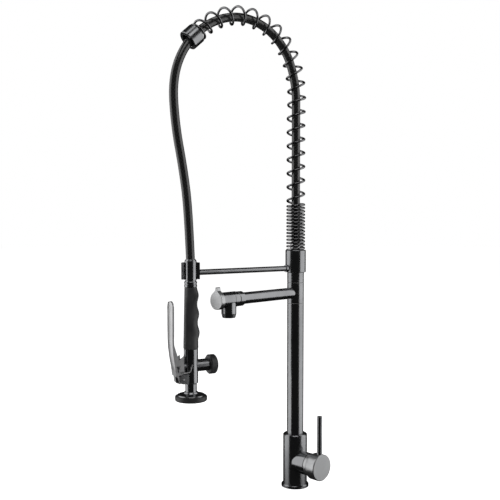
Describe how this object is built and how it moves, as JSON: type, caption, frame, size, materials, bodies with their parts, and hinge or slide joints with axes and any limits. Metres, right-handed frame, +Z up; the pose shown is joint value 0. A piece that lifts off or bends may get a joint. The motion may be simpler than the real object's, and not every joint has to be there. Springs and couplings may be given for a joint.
{
  "type": "pre rinse faucet",
  "caption": "Deck-mounted pre-rinse faucet with side mixer lever, swivelling pot spout, spring-guarded hose arch and a squeeze-lever hand spray docked on a swinging arm.",
  "frame": {"origin": "centre of the base flange's underside, on the deck", "axes": "+Z up the column; -Y is where the pot spout points at rest; +X is the mixer lever's side"},
  "size_m": [0.1625, 0.2918, 0.9394],
  "materials": {
    "gunmetal": "black-nickel plated, bright",
    "spring_steel": "black-nickel plated spring wire",
    "bright_steel": "satin",
    "brass": "machined",
    "ceramic": "polished",
    "black_rubber": "moulded",
    "grip_rubber": "semi-matte moulded",
    "hose": "black braid under a glossy clear cover",
    "nylon": "natural nylon",
    "black_plastic": "moulded"
  },
  "bodies": {
    "deck_body": {"base_flange": "gunmetal", "base_gasket": "black_rubber", "base_shell": "gunmetal", "waterway_core": "brass", "mixer_sleeve": "gunmetal", "cartridge_housing": "nylon", "fixed_disc": "ceramic", "cartridge_nut": "brass", "mixer_dome": "gunmetal", "column_tube": "gunmetal", "riser_pipe": "brass", "swivel_spindle": "brass", "swivel_orings": "black_rubber", "swivel_washers": "nylon", "upper_sleeve": "gunmetal", "collar_nut": "bright_steel"},
    "mixer_turn": {"stem_carrier": "nylon", "stem_pivot_pin": "bright_steel"},
    "mixer_disc": {"moving_disc": "ceramic"},
    "mixer_handle": {"mixer_stem": "brass", "mixer_cap": "gunmetal", "mixer_pin": "gunmetal", "mixer_set_screw": "bright_steel"},
    "pot_spout": {"swivel_ring": "gunmetal", "spout_tube": "gunmetal", "spout_union": "gunmetal", "pot_valve_body": "gunmetal", "pot_nozzle": "gunmetal", "aerator": "nylon", "shutoff_headpart": "brass"},
    "pot_knob": {"pot_knob": "gunmetal", "pot_stem": "brass", "shutoff_disc": "ceramic"},
    "spray_arm": {"spring_collar": "gunmetal", "rod_socket": "gunmetal", "support_rod": "gunmetal", "dock_clip": "gunmetal", "rod_set_screws": "bright_steel", "hose_coupling": "bright_steel", "spray_hose": "hose", "hose_spring": "spring_steel", "spring_ferrule": "gunmetal"},
    "hand_spray": {"neck_sleeve": "gunmetal", "grip_ring": "gunmetal", "handle_tube": "bright_steel", "grip": "grip_rubber", "spray_body": "gunmetal", "valve_seat": "brass", "return_spring": "bright_steel", "valve_bonnet": "black_plastic", "lever_pivot_pin": "bright_steel", "spray_bell": "gunmetal", "bell_bumper": "black_rubber", "spray_plate": "nylon"},
    "lever": {"spray_lever": "bright_steel", "lever_roller": "bright_steel"},
    "plunger": {"spray_plunger": "bright_steel", "plunger_washer": "black_rubber"},
    "hold_clip": {"hold_clip": "bright_steel"}
  },
  "joints": [
    {"name": "temperature_turn", "type": "hinge", "parent": "deck_body", "child": "mixer_turn", "pos_m": [0.0271, 0, 0.051], "axis": [1, 0, 0], "range_deg": [-50, 50]},
    {"name": "flow_tilt", "type": "hinge", "parent": "mixer_turn", "child": "mixer_handle", "pos_m": [0.0271, 0, 0.051], "axis": [0, 1, 0], "range_deg": [0, 18]},
    {"name": "disc_slide", "type": "slide", "parent": "mixer_turn", "child": "mixer_disc", "axis": [0, 0, 1], "range_m": [0, 0.00445]},
    {"name": "spout_swivel", "type": "hinge", "parent": "deck_body", "child": "pot_spout", "pos_m": [0, 0, 0.3893], "axis": [0, 0, 1], "continuous": true},
    {"name": "pot_shutoff", "type": "hinge", "parent": "pot_spout", "child": "pot_knob", "pos_m": [0, -0.2, 0.3893], "axis": [0, -1, 0], "range_deg": [0, 90]},
    {"name": "arm_swivel", "type": "hinge", "parent": "deck_body", "child": "spray_arm", "pos_m": [0, 0, 0.4384], "axis": [0, 0, 1], "range_deg": [-170, 170]},
    {"name": "spray_pull", "type": "slide", "parent": "spray_arm", "child": "hand_spray", "axis": [0, 0, -1], "range_m": [0, 0.045], "stiffness_N_per_m": 260, "springref_m": -0.06, "deforming": ["spray_hose"]},
    {"name": "lever_squeeze", "type": "hinge", "parent": "hand_spray", "child": "lever", "pos_m": [-0.06419, -0.23955, 0.2405], "axis": [-0.9659, 0.2588, 0], "range_deg": [0, 9], "stiffness_Nm_per_rad": 0.8, "springref_deg": -17.19},
    {"name": "plunger_slide", "type": "slide", "parent": "hand_spray", "child": "plunger", "axis": [0.2588, 0.9659, 0], "range_m": [0, 0.0037], "deforming": ["return_spring"]},
    {"name": "clip_flip", "type": "hinge", "parent": "lever", "child": "hold_clip", "pos_m": [-0.06522, -0.24341, 0.2529], "axis": [0.9659, -0.2588, 0], "range_deg": [0, 60]}
  ],
  "couplings": [
    {"joint": "disc_slide", "follows": "flow_tilt", "m_per_rad": 0.0141},
    {"joint": "plunger_slide", "follows": "lever_squeeze", "m_per_rad": 0.0226}
  ]
}
